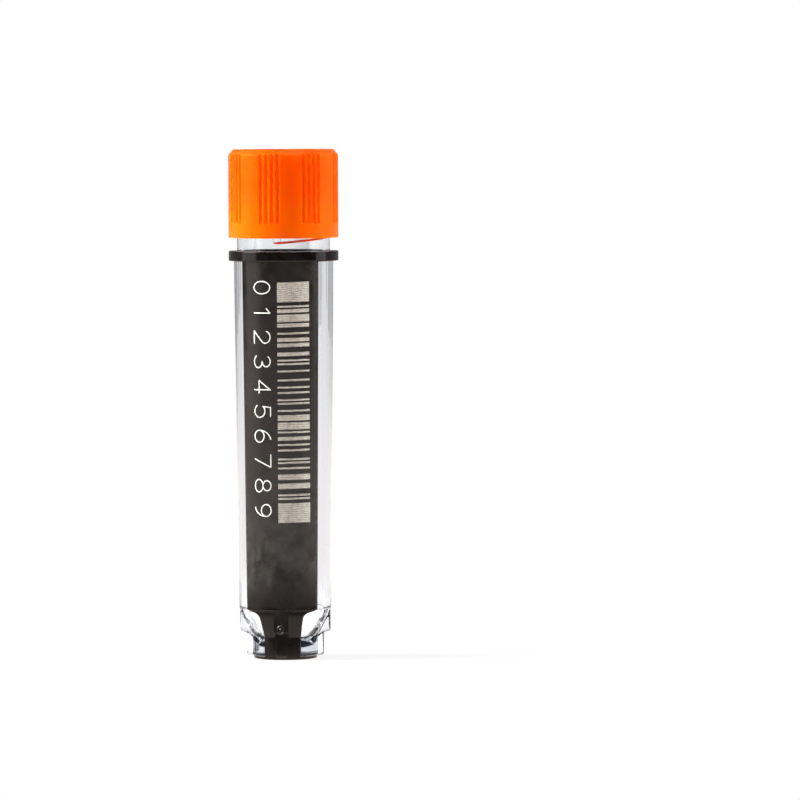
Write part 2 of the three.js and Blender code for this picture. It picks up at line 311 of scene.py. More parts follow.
def black_polypropylene(name, glossy, rubbed, dark, light):
    """
    Carbon-filled polypropylene off a polished mould: warm black, semi-gloss, with faint rubs from handling.
    Between about 6.5 and 18 mm up it turns greyer in cloudy patches. glossy and rubbed are
    the roughness where it is clean and where it is rubbed, and dark and light its colours there.
    """
    material, tree, place = begun(name)
    here = {"Vector": (place, "Object")}
    rubs = add(
        tree,
        "TexNoise",
        {"Scale": 420.0, "Detail": 6.0, "Roughness": 0.65, "Distortion": 1.2},
        here,
    )
    smears = add(
        tree,
        "TexNoise",
        {"Scale": 130.0, "Detail": 4.0, "Roughness": 0.6, "Distortion": 2.2},
        here,
    )
    worn = add(tree, "Math", {"operation": "MULTIPLY_ADD", 1: 0.4}, {0: (rubs, "Fac"), 2: (smears, "Fac")})
    sheen = add(tree, "ValToRGB", links={"Fac": (worn, 0)}, stops=[(0.55, glossy), (0.85, rubbed)])
    colour = add(tree, "ValToRGB", links={"Fac": (worn, 0)}, stops=[(0.55, dark), (0.85, light)])
    clouds = add(
        tree,
        "TexNoise",
        {"Scale": 230.0, "Detail": 4.0, "Roughness": 0.5, "Distortion": 2.6},
        here,
    )
    clouds = add(tree, "ValToRGB", links={"Fac": (clouds, "Fac")}, stops=[(0.42, 0), (0.70, 1)])
    apart = add(tree, "SeparateXYZ", {}, here)
    low = add(
        tree,
        "MapRange",
        {**SMOOTH, "From Min": 0.011, "From Max": 0.018, "To Min": 1.0, "To Max": 0.0},
        {"Value": (apart, "Z")},
    )
    above_foot = add(
        tree,
        "MapRange",
        {**SMOOTH, "From Min": 0.0065, "From Max": 0.010},
        {"Value": (apart, "Z")},
    )
    low = add(tree, "Math", {"operation": "MULTIPLY"}, {0: (above_foot, 0), 1: (low, 0)})
    # Between about 6.5 and 18 mm up, cloudy patches turn the colour greyer.
    low_grey_patches = add(tree, "Math", {"operation": "MULTIPLY"}, {0: (clouds, 0), 1: (low, 0)})
    colour = add(tree, "Mix", {"data_type": "RGBA", 7: srgb("#292724")}, {0: (low_grey_patches, 0), 6: (colour, 0)})
    grain = add(tree, "TexNoise", {"Scale": 3000.0, "Detail": 2.0}, here)
    bump = add(tree, "Bump", {"Strength": 0.05, "Distance": 0.00002}, {"Height": (grain, "Fac")})
    shader = add(
        tree,
        "BsdfPrincipled",
        {"IOR": 1.5},
        {"Base Color": (colour, 2), "Roughness": (sheen, 0), "Normal": (bump, 0)},
    )
    return finished(material, shader)


def bonded_black():
    """
    The face where black plastic is moulded onto clear: no air between them, so it has no gloss of its own.
    Low in the thick foot it is painted a lighter slate grey, for the bluish light that shows through the
    clear foot there.
    """
    material, tree, place = begun("bonded_black_face")
    flow = add(tree, "TexNoise", {"Scale": 300.0, "Detail": 3.0}, {"Vector": (place, "Object")})
    apart = add(tree, "SeparateXYZ", {}, {"Vector": (place, "Object")})
    # Painted light: low in the foot the colour turns slate grey, for the bluish light that shows through the
    # clear foot.
    painted_foot_grey = add(
        tree,
        "MapRange",
        {**SMOOTH, "From Min": 0.006, "From Max": 0.018, "To Min": 0.8, "To Max": 0.0},
        {"Value": (apart, "Z")},
    )
    shade = add(tree, "Math", {"operation": "MULTIPLY_ADD", 1: 0.2}, {0: (flow, "Fac"), 2: (painted_foot_grey, 0)})
    colour = add(
        tree,
        "ValToRGB",
        links={"Fac": (shade, 0)},
        stops=[(0.06, "#181617"), (0.2, "#222021"), (0.9, "#4c5665")],
    )
    shader = add(
        tree,
        "BsdfPrincipled",
        {"Roughness": 0.6, "Specular IOR Level": 0.05},
        {"Base Color": (colour, 0)},
    )
    return finished(material, shader)


def gate_black():
    """The same black where it froze against a polished pin: mirror gloss with a few streaks."""
    material, tree, place = begun("gate_gloss_black")
    here = {"Vector": (place, "Object")}
    streaks = add(tree, "TexNoise", {"Scale": 1800.0, "Detail": 2.0}, here)
    colour = add(
        tree,
        "ValToRGB",
        links={"Fac": (streaks, "Fac")},
        stops=[(0.3, "#050404"), (0.7, "#0b0908")],
    )
    gloss = add(tree, "ValToRGB", links={"Fac": (streaks, "Fac")}, stops=[(0.3, 0.03), (0.7, 0.12)])
    shader = add(
        tree,
        "BsdfPrincipled",
        {"IOR": 1.6, "Coat Weight": 1.0, "Coat Roughness": 0.02},
        {"Base Color": (colour, 0), "Roughness": (gloss, 0)},
    )
    return finished(material, shader)


def orange_polyethylene():
    """
    Moulded high-density polyethylene: bright orange and a little see-through, with a soft gloss. Its colour
    is painted deeper up where the plug stands close behind the wall, for the shade there, and lighter down
    the thin skirt, for the light that comes through it.
    """
    material, tree, place = begun("orange_polyethylene")
    here = {"Vector": (place, "Object")}
    cloud = add(tree, "TexNoise", {"Scale": 160.0, "Detail": 2.0}, here)
    height = add(tree, "SeparateXYZ", {}, here)
    # Painted light and shade: the colour is lighter down the thin skirt, where light comes through, and
    # deeper up by the plug.
    painted_skirt_light = add(
        tree,
        "MapRange",
        {**SMOOTH, "From Min": 0.0485, "From Max": 0.0545, "To Min": 0.8, "To Max": 0.0},
        {"Value": (height, "Z")},
    )
    mottle_and_skirt_light = add(tree, "Math", {"operation": "MULTIPLY_ADD", 1: 0.25}, {0: (cloud, "Fac"), 2: (painted_skirt_light, 0)})
    colour = add(tree, "ValToRGB", links={"Fac": (mottle_and_skirt_light, 0)}, stops=[(0.05, "#ff5200"), (1.0, "#ff6400")])
    peel = add(tree, "TexNoise", {"Scale": 1500.0, "Detail": 2.0}, here)
    bump = add(tree, "Bump", {"Strength": 0.08, "Distance": 0.00003}, {"Height": (peel, "Fac")})
    shader = add(
        tree,
        "BsdfPrincipled",
        {
            "Roughness": 0.28,
            "IOR": 1.5,
            "Specular IOR Level": 0.4,
            "Specular Tint": srgb("#ffb060"),
            "Subsurface Weight": 1.0,
            "Subsurface Radius": (1.0, 0.12, 0.04),
            "Subsurface Scale": 0.0018,
        },
        {"Base Color": (colour, 0), "Normal": (bump, 0)},
    )
    passed = add(tree, "BsdfTranslucent", {"Color": srgb("#ffa850")}, {"Normal": (bump, 0)})
    both = add(tree, "MixShader", {0: 0.33}, {1: (shader, 0), 2: (passed, 0)})
    return finished(material, both)


def laser_mark():
    """
    Plastic that a laser has foamed to off-white, for bars and matrix. Its wavy passes are 0.24 mm apart,
    with fainter ones across them.
    """
    material, tree, place = begun("laser_foamed_plastic")
    apart = 0.00024
    passes = {"wave_type": "BANDS", "Scale": math.tau / 20 / apart, "Distortion": 5.0, "Detail": 4.0}
    here = {"Vector": (place, "Object")}
    level = add(tree, "TexWave", {**passes, "bands_direction": "Z"}, here)
    upright = add(tree, "TexWave", {**passes, "bands_direction": "X"}, here)
    grit = add(tree, "TexNoise", {"Scale": 2500.0, "Detail": 3.0}, here)
    both = add(
        tree,
        "Math",
        {"operation": "MULTIPLY_ADD", 1: 0.25},
        {0: (upright, "Fac"), 2: (level, "Fac")},
    )
    depth = add(tree, "Math", {"operation": "MULTIPLY_ADD", 1: 0.45}, {0: (both, 0), 2: (grit, "Fac")})
    colour = add(tree, "ValToRGB", links={"Fac": (depth, 0)}, stops=[(0.35, "#696159"), (1.0, "#aea69c")])
    bump = add(tree, "Bump", {"Strength": 0.4, "Distance": 0.00002}, {"Height": (depth, 0)})
    shader = add(
        tree,
        "BsdfPrincipled",
        {"Roughness": 0.7},
        {"Base Color": (colour, 0), "Normal": (bump, 0)},
    )
    return finished(material, shader)


def laser_line():
    """A single slow pass of the laser, foamed nearly white, for the figures."""
    material, tree, place = begun("laser_line")
    grit = add(tree, "TexNoise", {"Scale": 5000.0}, {"Vector": (place, "Object")})
    colour = add(tree, "ValToRGB", links={"Fac": (grit, "Fac")}, stops=[(0.3, "#aaa7a0"), (0.7, "#bfbdb8")])
    shader = add(tree, "BsdfPrincipled", {"Roughness": 0.65}, {"Base Color": (colour, 0)})
    return finished(material, shader)


def soft_elastomer():
    """Thermoplastic elastomer of the seal: off-white, matt and a little waxy."""
    material, tree, place = begun("thermoplastic_elastomer")
    cloud = add(tree, "TexNoise", {"Scale": 500.0, "Detail": 3.0}, {"Vector": (place, "Object")})
    colour = add(
        tree,
        "ValToRGB",
        links={"Fac": (cloud, "Fac")},
        stops=[(0.3, "#e2dccf"), (0.7, "#ebe6db")],
    )
    bump = add(tree, "Bump", {"Strength": 0.1, "Distance": 0.00003}, {"Height": (cloud, "Fac")})
    shader = add(
        tree,
        "BsdfPrincipled",
        {"Roughness": 0.55, "Subsurface Weight": 0.3, "Subsurface Scale": 0.0005},
        {"Base Color": (colour, 0), "Normal": (bump, 0)},
    )
    return finished(material, shader)


CLEAR = clarified_polypropylene()
BLACK = black_polypropylene("black_polypropylene", 0.10, 0.28, "#080504", "#110b09")
# The ring's black is glossier and painted darker, for the shade under the cap.
SHADED_RING_BLACK = black_polypropylene("polished_ring_black_painted_shade", 0.05, 0.14, "#040202", "#080505")
BONDED = bonded_black()
GATE = gate_black()
ORANGE = orange_polyethylene()
MARK = laser_mark()
LINE = laser_line()
SOFT = soft_elastomer()


# ---------------------------------------------------------------- screw thread


def ridge(degrees, height, thread):
    """
    How far a helical ridge stands out of its wall at angles from the front and heights. The ridge's middle
    rises by the lead each turn from the thread's start. Its section is a trapezoid, full within the crest's
    half width of the middle and gone at the root's, and its ends sink over the run-out.
    """
    turn = (degrees - thread["start"]) % 360.0
    rise = height - thread["height"]
    whole = np.round(rise / THREAD_LEAD - turn / 360.0)
    angle = turn + 360.0 * np.clip(whole, 0, None)
    off = np.abs(rise - THREAD_LEAD * angle / 360.0)
    to_end = np.clip(np.minimum(angle, 360.0 * thread["turns"] - angle) / THREAD_RUN_OUT, 0, 1)
    crest = -THREAD_BURIAL / 2 + (THREAD_HEIGHT + THREAD_BURIAL / 2) * to_end**2 * (3 - 2 * to_end)
    flank = np.clip((THREAD_ROOT - off) / (THREAD_ROOT - THREAD_CREST), 0, 1)
    return np.clip(-THREAD_BURIAL + (crest + THREAD_BURIAL) * flank, 0, None)


# ---------------------------------------------------------------- clear tube


SHOULDER_TOP = BODY_TOP_HEIGHT + SEAT
STEM = rounded(
    [
        (SPIGOT, DISC_TOP / 2),
        (SPIGOT, SPIGOT_TOP, 0.12),
        (SHOULDER, SHOULDER_HEIGHT, 0.5),
        (SHOULDER, BODY_FOOT_HEIGHT - 0.09),
        (BODY_FOOT, BODY_FOOT_HEIGHT, 0.04),
        (BODY_TOP + 0.002, SHOULDER_TOP),
    ],
    6,
)
FOOT_EDGE, TOP_EDGE = np.array([BODY_FOOT, BODY_FOOT_HEIGHT]), np.array([BODY_TOP, BODY_TOP_HEIGHT])
UP_THE_BODY = np.array([[0.01], [0.25], [0.5], [0.75]])
STEM = np.insert(STEM, -1, FOOT_EDGE + (TOP_EDGE - FOOT_EDGE) * UP_THE_BODY, 0)


def stem_radius(height):
    """The outside radius of spigot, shoulder and body at a height."""
    return np.interp(height, STEM[:, 1], STEM[:, 0])


def rib_half_width(height):
    """Half a rib's width at a height: it narrows downwards, and its foot is round at either side."""
    straight = np.interp(height, [DISC_TOP, BODY_FOOT_HEIGHT], [RIB_FOOT_HALF, RIB_TOP_HALF])
    into = np.clip(1 - (height - DISC_TOP) / RIB_ROUND, 0, 1)
    return straight - RIB_ROUND * (1 - np.sqrt(1 - into**2))


def foot_profiles():
    """
    Two profiles from the axis under the foot up to the body's edge, of equal length: one over the stem and
    one over a rib. The rib's has the low rib, the ledge and the lug.
    """
    base = DISC_TOP - BOND
    low = DISC_TOP + BOND
    ends = [low + 0.15, SPIGOT_TOP - 0.2, SPIGOT_TOP + 0.5, LUG_MIDDLE, BODY_FOOT_HEIGHT - 0.15]
    pairs = [
        ([(0, base), (DISC - 0.03, base)], [(0, base), (DISC - 0.03, base)], 4),
        (
            [(DISC - 0.03, base), (DISC - 0.03, low), (SPIGOT, low, 0.08), (SPIGOT, ends[0])],
            [(DISC - 0.03, base), (DISC - 0.03, low), (LOW_RIB, low, RIB_ROUND), (LOW_RIB, low + 0.4)],
            10,
        ),
        ([(0, ends[0]), (0, ends[1])], [(LOW_RIB, low + 0.4), (LOW_RIB, LUG_FOOT)], 4),
        (
            [(0, ends[1]), (0, ends[2])],
            [(LOW_RIB, LUG_FOOT), (SHOULDER, LUG_FOOT, RIB_ROUND), (SHOULDER, LUG_FOOT + 0.6)],
            10,
        ),
        ([(0, ends[2]), (0, ends[3])], [(SHOULDER, LUG_FOOT + 0.6), (SHOULDER, LUG_MIDDLE)], 4),
        ([(0, ends[3]), (0, ends[4])], [(SHOULDER, LUG_MIDDLE), (SHOULDER, ends[4])], 12),
    ]
    stem = [along(rounded(over_stem, 6), count)[1:] for over_stem, _, count in pairs]
    rib = [along(rounded(over_rib, 6), count)[1:] for _, over_rib, count in pairs]
    for part in stem[2:]:
        part[:, 0] = stem_radius(part[:, 1])
    first = np.array([[0.0, base]])
    return np.concatenate([first, *stem]), np.concatenate([first, *rib])


def tube_shell():
    """
    The tube as one closed grid that runs from the axis under the foot, up the outside and over the rim, and
    down the bore to the axis on the well's floor. Each row goes round the stem, and out over the side and
    back ribs between flat walls. The thread's ridge is added to the neck's radius.
    """
    stem, rib = foot_profiles()
    outside = np.concatenate([STEM[STEM[:, 1] > BODY_FOOT_HEIGHT - 0.13], [[NECK, SHOULDER_TOP]]])
    thread_rows = np.arange(RING_TOP + 0.3, THREAD_ZONE_TOP, 0.03)
    neck = np.stack([np.full_like(thread_rows, NECK), thread_rows], axis=1)
    inside = rounded(
        [
            (NECK, NECK_TOP),
            (NECK, RIM_TOP, 0.2),
            (BORE_MOUTH + 0.18, RIM_TOP),
            (BORE_MOUTH, RIM_TOP - 0.2, 0.08),
            (BORE_MOUTH - 0.06, 43.7),
            (BORE_MOUTH - 0.12, 31.0),
            (BORE_MOUTH - 0.18, 18.2),
            (BORE_FOOT, BORE_FOOT_HEIGHT, 0.6),
            (3.2, 3.2),
            (WELL_RADIUS, WELL_FLOOR, 0.5),
            (0.8, WELL_FLOOR),
            (0, WELL_FLOOR),
        ],
        6,
    )
    above = np.concatenate([outside, neck, inside])
    stem = np.concatenate([stem, above])
    rib = np.concatenate([rib, above])

    share = np.array([-1, -1, -0.965, -0.88, -0.45, 0, 0.45, 0.88, 0.965, 1, 1])
    lift = np.array([0, 1, 1, 1, 1, 1, 1, 1, 1, 1, 0])
    drop = np.array([0, 0.1, 0.03, 0, 0, 0, 0, 0, 0.03, 0.1, 0])
    stand = (rib - stem)[:, 0:1]
    radius = stem[:, 0:1] + lift * stand - np.minimum(drop, 0.5 * np.maximum(stand, 0))
    height = stem[:, 1:2] + lift * (rib - stem)[:, 1:2]
    half_width = np.minimum(rib_half_width(height[:, 5:6]), 0.42 * radius)
    offset = np.degrees(np.arcsin(share * half_width / np.maximum(radius, 1e-9)))
    edge = offset[:, -1:]

    radii, heights, angles = [], [], []
    for at, after, between in ((90, 180, 31), (180, 270, 31), (270, 450, 64)):
        radii.append(radius)
        heights.append(height)
        angles.append(at + offset)
        part = np.linspace(0, 1, between + 2)[1:-1]
        radii.append(np.repeat(stem[:, 0:1], between, axis=1))
        heights.append(np.repeat(stem[:, 1:2], between, axis=1))
        angles.append(at + edge + (after - at - 2 * edge) * part)
    radii = np.concatenate(radii, axis=1)
    heights = np.concatenate(heights, axis=1)
    angles = np.concatenate(angles, axis=1)
    on_neck = (heights > RING_TOP) & (heights < NECK_TOP + 0.1) & (radii > BORE_MOUTH + 0.3)
    radii = radii + np.where(on_neck, ridge(angles, heights, TUBE_THREAD), 0)
    return wrapped(turned_point(radii, angles, heights))


# ---------------------------------------------------------------- black jacket


STRIP_HALF_ANGLE = math.radians(48)
TAIL_HALF_ANGLE = math.radians(32.2)


def strip_shell():
    """
    The coded strip: rows of points run straight across, from side to side of a symmetrical outline, on the
    body's outside and on a face parallel to it and deeper. The outline is a narrow tail, a shelf that drops
    inwards under the body's edge, and a wide head.
    """
    tail = SPIGOT * math.sin(TAIL_HALF_ANGLE)
    waist = BODY_FOOT * math.sin(STRIP_HALF_ANGLE)
    head = BODY_TOP * math.sin(STRIP_HALF_ANGLE)
    shelf = BODY_FOOT_HEIGHT - 0.15
    side = rounded(
        [
            (tail, DISC_TOP / 2),
            (tail, SPIGOT_TOP, 0.3),
            (waist - 1.4, shelf - 0.35, 0.6),
            (waist - 0.08, shelf, 0.6),
            (waist, BODY_FOOT_HEIGHT),
            (head, BODY_TOP_HEIGHT + 0.1),
        ],
        8,
    )
    levels = np.union1d(side[:, 1], STEM[(STEM[:, 1] > side[0, 1]) & (STEM[:, 1] < side[-1, 1]), 1])
    half = np.interp(levels, side[:, 1], side[:, 0])[:, None]
    x = half * np.sin(np.linspace(-1, 1, 57) * STRIP_HALF_ANGLE) / math.sin(STRIP_HALF_ANGLE)
    z = np.repeat(levels[:, None], x.shape[1], axis=1)
    outer = stem_radius(z) + BOND / 2
    inner = outer - JACKET_DEPTH
    front = np.stack([x, -np.sqrt(outer**2 - x**2), z], axis=-1)
    back = np.stack([x, -np.sqrt(inner**2 - x**2), z], axis=-1)
    return slab(front, back)


def front_rib_shell():
    """
    The black rib at the front: a lug above a low rib, narrower downwards. Its profile runs over rib and
    lug, and each row crosses it with the two edges dropped a little, so that they look rounded.
    """
    profile = along(
        rounded(
            [
                (3.2, DISC_TOP + 0.005),
                (LOW_RIB, DISC_TOP + 0.005, RIB_ROUND),
                (LOW_RIB, LUG_FOOT),
                (SHOULDER, LUG_FOOT, RIB_ROUND),
                (SHOULDER + 0.02, 5.76),
                (4.6, 5.77),
            ],
            8,
        ),
        190,
    )
    share = np.concatenate([[-1, -0.985, -0.95, -0.9], np.linspace(-0.84, 0.84, 31), [0.9, 0.95, 0.985, 1]])
    drop = np.concatenate([[0.15, 0.085, 0.035, 0.01], np.zeros(31), [0.01, 0.035, 0.085, 0.15]])
    z = np.repeat(profile[:, 1:2], len(share), axis=1)
    x = share * rib_half_width(z)
    radius = profile[:, 0:1] - drop
    front = np.stack([x, -np.sqrt(radius**2 - x**2), z], axis=-1)
    back_z = np.clip(z, DISC_TOP - 0.05, 5.6)
    back = np.stack([x, -np.sqrt(3.0**2 - x**2), back_z], axis=-1)
    points, faces, _ = slab(front, back)
    return points, faces, None


GATE_REACH = 0.46
GATE_ABOVE_LUG_FOOT = 0.52
GATE_OVAL = 1.25  # height over width


def gate_shell():
    """
    The oval spot where the black plastic was injected: a raised rim with a polished dimple inside it and a
    broken-off nub in the middle, all on one grid of rings and spokes that dips into the lug at its edge.
    """
    reach = np.linspace(0, GATE_REACH, 34)[:, None]
    turn = np.linspace(0, math.tau, 49)[None, :-1]
    rim = 0.07 * np.exp(-(((reach - 0.35) / 0.06) ** 2))
    dimple = 0.10 * np.clip(1 - (reach / 0.3) ** 2, 0, 1)
    nub = 0.2 * np.exp(-((reach / 0.14) ** 2)) * (1 + 0.2 * np.sin(2 * turn))
    sunk_edge = 0.05 * (reach > GATE_REACH - 0.02)
    face = SHOULDER + 0.015 + (rim - dimple + nub - sunk_edge)
    x = reach * np.cos(turn)
    z = LUG_FOOT + GATE_ABOVE_LUG_FOOT + GATE_OVAL * reach * np.sin(turn)
    front = np.stack([x, -np.sqrt(face**2 - x**2), z], axis=-1)
    back = np.stack([x, np.full_like(x, -4.7), z], axis=-1)
    return wrapped(np.concatenate([front, back[::-1]]))


def jacket_shells():
    """
    Support ring, coded strip, front rib and code disc, which run into each other as one moulding. Faces
    bonded to the clear plastic are marked 1, and the polished ring's, whose black is painted darker for
    shade, are marked 2.
    """
    ring = rounded(
        [
            (NECK - BOND, (BODY_TOP_HEIGHT + RING_TOP) / 2),
            (NECK - BOND, BODY_TOP_HEIGHT),
            (RING_RADIUS - RING_EDGE - RING_FLAT, BODY_TOP_HEIGHT),
            (RING_RADIUS, BODY_TOP_HEIGHT, RING_EDGE),
            (RING_RADIUS, BODY_TOP_HEIGHT + RING_EDGE + RING_FLAT),
            (RING_RADIUS, RING_TOP - RING_EDGE - RING_FLAT),
            (RING_RADIUS, RING_TOP, RING_EDGE),
            (RING_RADIUS - RING_EDGE - RING_FLAT, RING_TOP),
            (NECK - BOND, RING_TOP),
        ],
        5,
    )
    disc = rounded(
        [(0, 0), (2.4, 0), (DISC, 0, 0.09), (DISC, DISC_TOP, 0.03), (2.4, DISC_TOP), (0, DISC_TOP)], 4
    )
    points, faces, _ = turned(disc, 128)
    bonded = (points[faces, 2].min(axis=1) > DISC_TOP - 0.002).astype(int)
    ring_points, ring_faces, _ = hoop(ring, 192)
    # The ring's faces get the glossier black that is painted darker for shade.
    polished = np.full(len(ring_faces), 2)
    return [
        (ring_points, ring_faces, polished),
        strip_shell(),
        front_rib_shell(),
        (points, faces, bonded),
    ]


# ---------------------------------------------------------------- screw cap


PLUG = 4.25
PLUG_FLOOR = 0.9
CEILING = 0.85
CAP_WALL = 0.57  # from the thread's root to the grip
SKIRT = 1.6  # the plain band under the grip
BEVEL_RISE, BEVEL_RUN = 0.62, 0.54
GROOVE_ROUND, GROOVE_DEPTH = 0.25, 0.17
GROOVE_TURN, GROUP_TURN = 6.0, 45.0  # degrees from one to the next
SOCKET = 3.40
SOCKET_DEPTH = 4.3
SPLINE_ROUND, SPLINE_RISE = 0.5, 0.38
SPLINE_TURN = 60.0
CAP_COLUMNS = 480


def groove_depth(degrees):
    """
    How deep the grip's grooves are at angles from the front. A groove is a round channel whose bottom lies
    its depth under the wall. Four of them, a groove's turn apart, make each group.
    """
    from_group = (degrees - GRIP_TURN + GROUP_TURN / 2) % GROUP_TURN - GROUP_TURN / 2
    first, last = GROOVE_TURN / 2, GROOVE_TURN * 1.5
    nearest = np.clip(np.round((from_group - first) / GROOVE_TURN) * GROOVE_TURN + first, -last, last)
    off = CAP_RADIUS * np.radians(from_group - nearest)
    channel = np.sqrt(np.clip(GROOVE_ROUND**2 - off**2, 0, None))
    return np.clip(GROOVE_DEPTH - GROOVE_ROUND + channel, 0, None)


def spline_height(degrees):
    """How far the half-round splines stand into the socket at angles from the front."""
    from_spline = (degrees + SPLINE_TURN / 2) % SPLINE_TURN - SPLINE_TURN / 2
    off = SOCKET * np.radians(from_spline)
    arch = np.sqrt(np.clip(SPLINE_ROUND**2 - off**2, 0, None))
    return np.clip(SPLINE_RISE - SPLINE_ROUND + arch, 0, None)


def cap_shell():
    """
    The cap as one closed grid: from the axis under the plug, up the plug and out along the ceiling, down
    the threaded wall and round the mouth, up the grip and over the bevel, and down the socket to the axis
    on its floor. Grooves, thread and splines are taken from or added to the radius of the rows they cross.
    """
    ceiling, floor = CAP_TOP - CEILING, CAP_TOP - SOCKET_DEPTH
    plug_foot = floor - PLUG_FLOOR
    root = CAP_RADIUS - CAP_WALL
    grip_foot = CAP_FOOT + SKIRT
    bevel = CAP_TOP - BEVEL_RISE
    plug = [(0, plug_foot), (2.6, plug_foot), (PLUG, plug_foot, 0.4), (PLUG, ceiling - 0.05)]
    under = rounded([*plug, (root, ceiling)], 4)
    wall_heights = np.arange(54.0, CAP_FOOT + 0.2, -0.11)
    wall = np.stack([np.full_like(wall_heights, root), wall_heights], axis=1)
    mouth = rounded(
        [
            (root, CAP_FOOT + 0.15),
            (root + 0.15, CAP_FOOT),
            (CAP_RADIUS, CAP_FOOT, 0.07),
            (CAP_RADIUS, grip_foot - 0.3),
        ],
        3,
    )
    grip_heights = np.concatenate(
        [
            grip_foot + np.array([-0.01, 0.03, 0.08, 0.14]),
            np.linspace(grip_foot + 0.8, bevel - 0.5, 6),
            bevel + np.array([-0.1, -0.05]),
        ]
    )
    grip = np.stack([np.full_like(grip_heights, CAP_RADIUS), grip_heights], axis=1)
    bevel_heights = bevel + np.linspace(0.0, BEVEL_RISE, 14)
    slope = BEVEL_RUN / BEVEL_RISE
    bevel_rows = np.stack([CAP_RADIUS - slope * (bevel_heights - bevel), bevel_heights], axis=1)
    bevel_rows[0, 0] -= 0.015
    top = rounded(
        [
            (CAP_RADIUS - 0.60, CAP_TOP),
            (4.6, CAP_TOP),
            (SOCKET, CAP_TOP, 0.15),
            (SOCKET, CAP_TOP - 0.66),
            (SOCKET, CAP_TOP - 0.70),
            (SOCKET, CAP_TOP - 0.74),
            (SOCKET, CAP_TOP - 1.8),
            (SOCKET, floor + 0.15),
            (SOCKET, floor),
            (2.3, floor),
            (0, floor),
        ],
        4,
    )
    profile = np.concatenate([under, wall, mouth, grip, bevel_rows, top])
    angles = (GRIP_TURN + 360.0 / CAP_COLUMNS * np.arange(CAP_COLUMNS))[None, :]
    radius = np.repeat(profile[:, 0:1], CAP_COLUMNS, axis=1)
    height = np.repeat(profile[:, 1:2], CAP_COLUMNS, axis=1)
    row = np.arange(len(profile))[:, None]
    on_wall = (row >= len(under)) & (row < len(under) + len(wall))
    first_grip = len(under) + len(wall) + len(mouth)
    on_grip = (row > first_grip) & (row < first_grip + len(grip) + len(bevel_rows))
    first_socket = len(profile) - len(top)
    on_splines = (row > first_socket) & (height < CAP_TOP - 0.69) & (radius > SOCKET - 0.01)
    radius = radius - np.where(on_wall, ridge(angles, height, CAP_THREAD), 0)
    foot_ramp = np.clip((height - grip_foot) / 0.12, 0, 1)
    grooved = CAP_RADIUS - groove_depth(angles) * foot_ramp
    radius = np.where(on_grip, np.minimum(radius, grooved), radius)
    radius = radius - np.where(on_splines, spline_height(angles), 0)
    return wrapped(turned_point(radius, np.repeat(angles, len(profile), axis=0), height))


# ---------------------------------------------------------------- laser print

MARK_PROUD = 0.024
MARK_DEEP = -0.02
FIGURES_FOOT = -3.04  # round the body from the middle of the strip
FIGURE_HEIGHT = 2.12
FIGURE_WIDTH = 1.54
FIGURE_PITCH = 2.806
STROKE = 0.125
PRINT_TOP = 43.02


def on_strip(across, height, proud):
    """Points over the strip's face, at distances round it from its middle and heights, proud by so much."""
    radius = stem_radius(height)
    return turned_point(radius + proud, np.degrees(across / radius), height)


def arc(across, up, wide, tall, start, stop):
    """An elliptical arc in a figure's cell, from its centre, its half sizes and its two angles."""
    angle = np.radians(np.linspace(start, stop, 33))
    return np.stack([across + wide * np.cos(angle), up + tall * np.sin(angle)], axis=1)


def run(*points):
    """Straight runs of a figure's line."""
    return np.array(points, float)


FIGURES = {
    "0": [arc(0.5, 0.5, 0.5, 0.5, 90, 450)],
    "1": [run((0.2, 0.78), (0.55, 1)), run((0.55, 1), (0.55, 0))],
    "2": [
        np.concatenate([arc(0.5, 0.7, 0.48, 0.3, 165, -32), run((0, 0))]),
        run((0, 0), (1, 0)),
    ],
    "3": [arc(0.46, 0.755, 0.42, 0.245, 150, -90), arc(0.46, 0.255, 0.5, 0.255, 90, -152)],
    "4": [run((0.74, 0), (0.74, 1)), run((0.74, 1), (0, 0.3)), run((0, 0.3), (1, 0.3))],
    "5": [
        run((0.88, 1), (0.17, 1)),
        run((0.17, 1), (0.1, 0.54)),
        arc(0.47, 0.33, 0.5, 0.33, 140, -150),
    ],
    "6": [arc(0.5, 0.3, 0.48, 0.3, 180, 540), arc(0.82, 0.3, 0.8, 0.7, 180, 96)],
    "7": [run((0, 1), (1, 1)), run((1, 1), (0.34, 0))],
    "8": [arc(0.5, 0.755, 0.4, 0.245, 90, 450), arc(0.5, 0.255, 0.5, 0.255, 90, 450)],
    "9": [arc(0.5, 0.7, 0.48, 0.3, 0, 360), arc(0.18, 0.7, 0.8, 0.7, 0, -84)],
}


